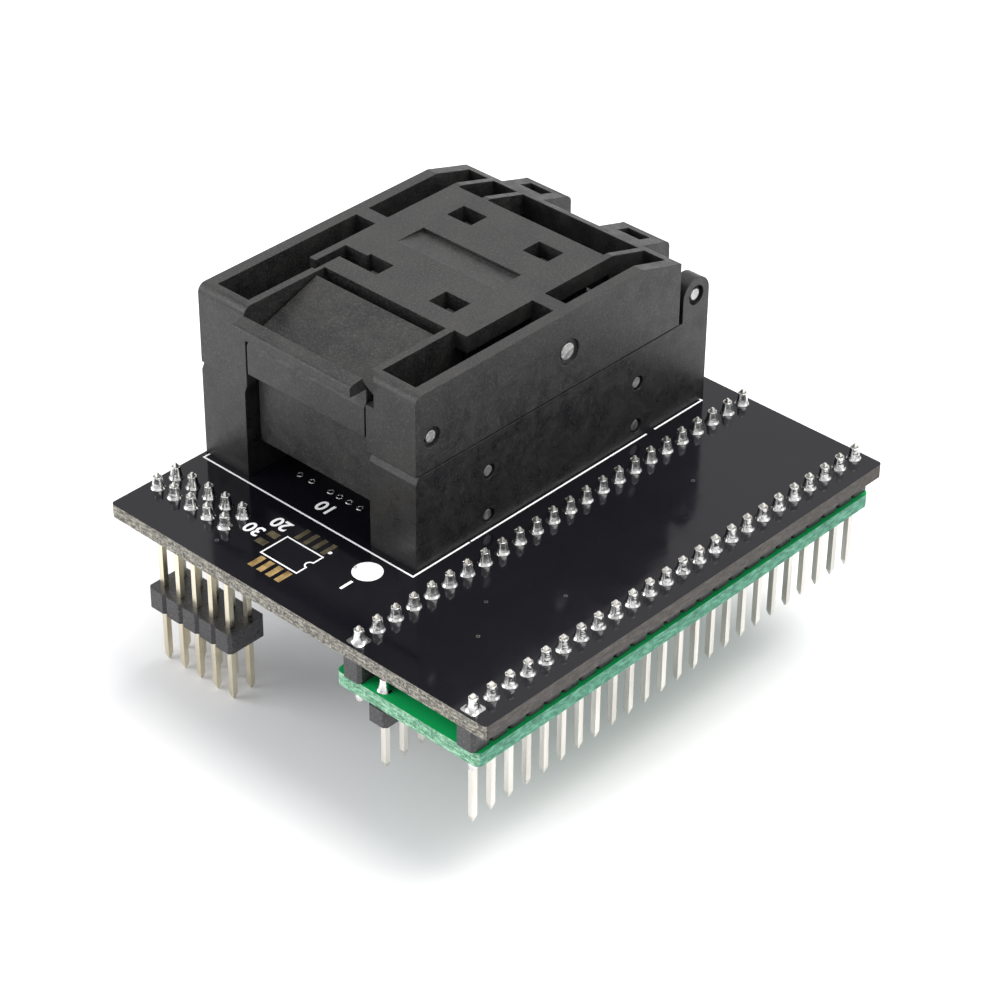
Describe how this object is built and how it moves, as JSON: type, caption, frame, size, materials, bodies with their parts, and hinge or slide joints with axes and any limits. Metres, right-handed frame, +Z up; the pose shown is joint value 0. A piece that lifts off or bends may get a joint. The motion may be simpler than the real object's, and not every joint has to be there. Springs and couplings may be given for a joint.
{
  "type": "ic programming adapter",
  "caption": "Chip programming adapter: a hinged, latched test socket on a black carrier board, over a green riser board with two plug-in pin rows and a long side header.",
  "frame": {"origin": "midway between the two lower pin rows and midway along them, in the plane where the lower pin strip seats on the socket that the adapter plugs into", "axes": "Z up, out of that socket; Y along the pin rows with the lid's hinge at +Y and its latch at -Y; X across the boards with the chip socket at -X"},
  "size_m": [0.0531, 0.061, 0.0429],
  "materials": {
    "board_black": "glass-fibre board under glossy black solder mask",
    "board_green": "glass-fibre board under green solder mask",
    "strip_plastic": "moulded black insulator",
    "pin_metal": "tinned square pins",
    "pin_gold": "gold-flashed brass",
    "solder": "bright solder",
    "socket_plastic": "fine-grained glass-filled dark grey plastic",
    "nest_plastic": "machined dark plastic",
    "pin_steel": "ground stainless pins",
    "spring_steel": "spring wire"
  },
  "bodies": {
    "base": {"carrier_board": "board_black", "riser_board": "board_green", "outer_link_strip": "strip_plastic", "inner_link_strip": "strip_plastic", "outer_row_pins": "pin_metal", "inner_link_pins": "pin_metal", "lower_pin_strip": "strip_plastic", "lower_row_pins": "pin_metal", "side_header_block": "strip_plastic", "side_header_pins": "pin_gold", "carrier_solder": "solder", "riser_solder": "solder", "socket_base": "socket_plastic", "contact_block": "socket_plastic", "contact_pins": "pin_gold", "nest_springs": "spring_steel", "cross_pins": "pin_steel", "hinge_pin": "pin_steel", "hinge_spring": "spring_steel"},
    "lid": {"lid_frame": "socket_plastic", "pressure_pin": "pin_steel", "latch_pin": "pin_steel", "latch_spring": "spring_steel"},
    "latch": {"latch_lever": "socket_plastic"},
    "pressure": {"pressure_plate": "nest_plastic", "pressure_springs": "spring_steel"},
    "nest": {"nest_plate": "nest_plastic"}
  },
  "joints": [
    {"name": "lid_hinge", "type": "hinge", "parent": "base", "child": "lid", "pos_m": [-0.02865, 0.0251, 0.02159], "axis": [-1, 0, 0], "range_deg": [0, 90]},
    {"name": "latch_pivot", "type": "hinge", "parent": "lid", "child": "latch", "pos_m": [-0.02865, -0.015, 0.02284], "axis": [-1, 0, 0], "range_deg": [0, 12], "stiffness_Nm_per_rad": 0.05, "deforming": ["latch_spring"]},
    {"name": "pressure_rock", "type": "hinge", "parent": "lid", "child": "pressure", "pos_m": [-0.02865, 0.00495, 0.02359], "axis": [1, 0, 0], "range_deg": [-2, 2], "stiffness_Nm_per_rad": 0.1},
    {"name": "nest_float", "type": "slide", "parent": "base", "child": "nest", "axis": [0, 0, -1], "range_m": [0, 0.0004], "stiffness_N_per_m": 1500, "deforming": ["nest_springs"]}
  ]
}
